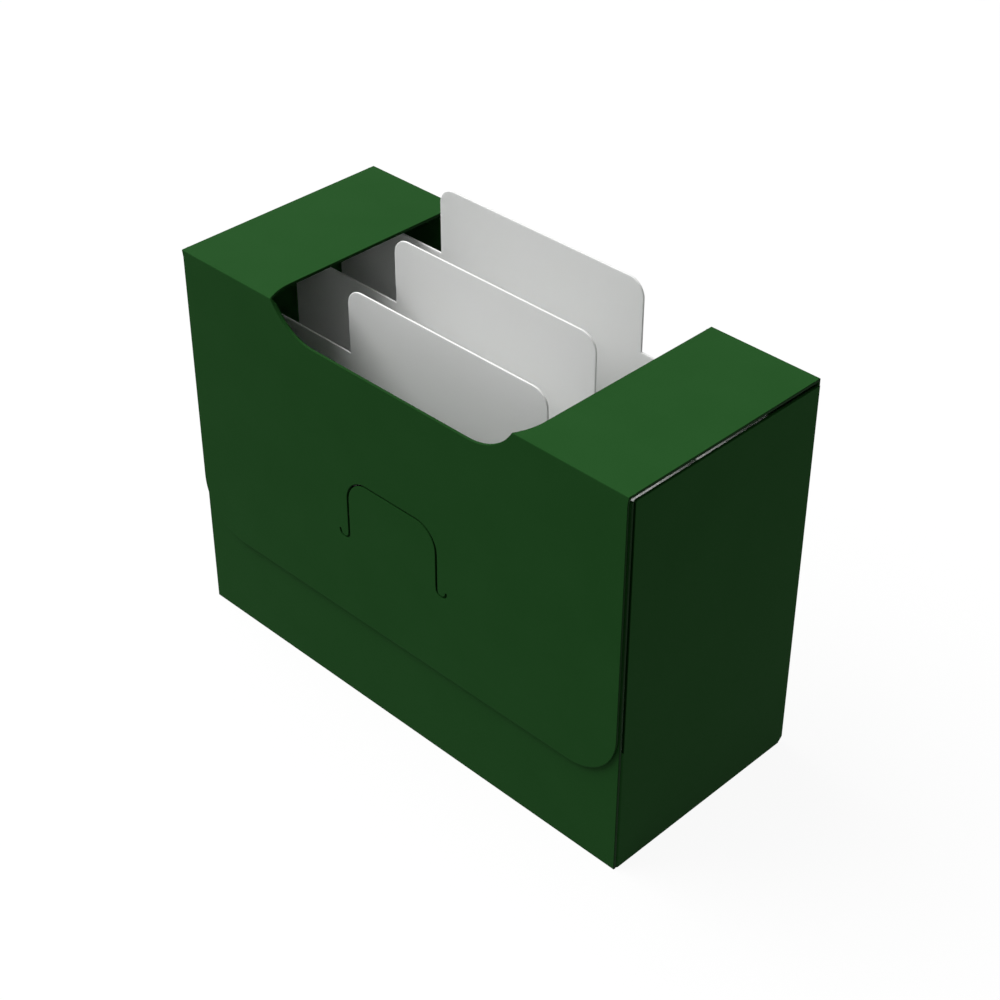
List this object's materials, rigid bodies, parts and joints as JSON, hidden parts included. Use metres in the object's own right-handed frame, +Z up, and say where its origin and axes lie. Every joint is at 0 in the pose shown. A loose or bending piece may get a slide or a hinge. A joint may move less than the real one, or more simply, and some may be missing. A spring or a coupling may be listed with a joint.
{
  "type": "card organizer box",
  "caption": "Folded plastic card box with a hinged lid of end strips, a front flap with a lock tongue, and stepped index dividers that slide inside.",
  "frame": {"origin": "centre of the whole box's footprint, on the surface that it stands on", "axes": "+X along the width to the box's own right as seen from the front, +Y from the front flap to the back wall, +Z up"},
  "size_m": [0.0962, 0.0416, 0.0798],
  "materials": {
    "green_sheet": "fine matte polypropylene sheet, die-cut and creased",
    "divider_sheet": "satin translucent white polypropylene sheet"
  },
  "bodies": {
    "tray": {"floor_panel": "green_sheet", "front_wall": "green_sheet", "back_wall": "green_sheet", "left_side_wall": "green_sheet", "right_side_wall": "green_sheet", "left_front_glue_tab": "green_sheet", "right_front_glue_tab": "green_sheet", "left_floor_glue_tab": "green_sheet", "right_floor_glue_tab": "green_sheet"},
    "lid": {"left_lid_strip": "green_sheet", "right_lid_strip": "green_sheet"},
    "flap": {"front_flap": "green_sheet"},
    "tongue": {"lock_tongue": "green_sheet"},
    "front_divider": {"front_divider": "divider_sheet"},
    "middle_divider": {"middle_divider": "divider_sheet"},
    "back_divider": {"back_divider": "divider_sheet"}
  },
  "joints": [
    {"name": "lid_hinge", "type": "hinge", "parent": "tray", "child": "lid", "pos_m": [0, 0.02064, 0.07055], "axis": [-1, 0, 0], "range_deg": [0, 180]},
    {"name": "flap_hinge", "type": "hinge", "parent": "lid", "child": "flap", "pos_m": [0, -0.02046, 0.07055], "axis": [-1, 0, 0], "range_deg": [0, 90]},
    {"name": "tongue_hinge", "type": "hinge", "parent": "flap", "child": "tongue", "pos_m": [0, -0.02038, 0.0341], "axis": [-1, 0, 0], "range_deg": [0, 15], "stiffness_Nm_per_rad": 0.001},
    {"name": "front_divider_slide", "type": "slide", "parent": "tray", "child": "front_divider", "axis": [0, 1, 0], "range_m": [-0.008, 0.0046]},
    {"name": "middle_divider_slide", "type": "slide", "parent": "tray", "child": "middle_divider", "axis": [0, 1, 0], "range_m": [-0.0046, 0.0046]},
    {"name": "back_divider_slide", "type": "slide", "parent": "tray", "child": "back_divider", "axis": [0, 1, 0], "range_m": [-0.0046, 0.0079]}
  ]
}
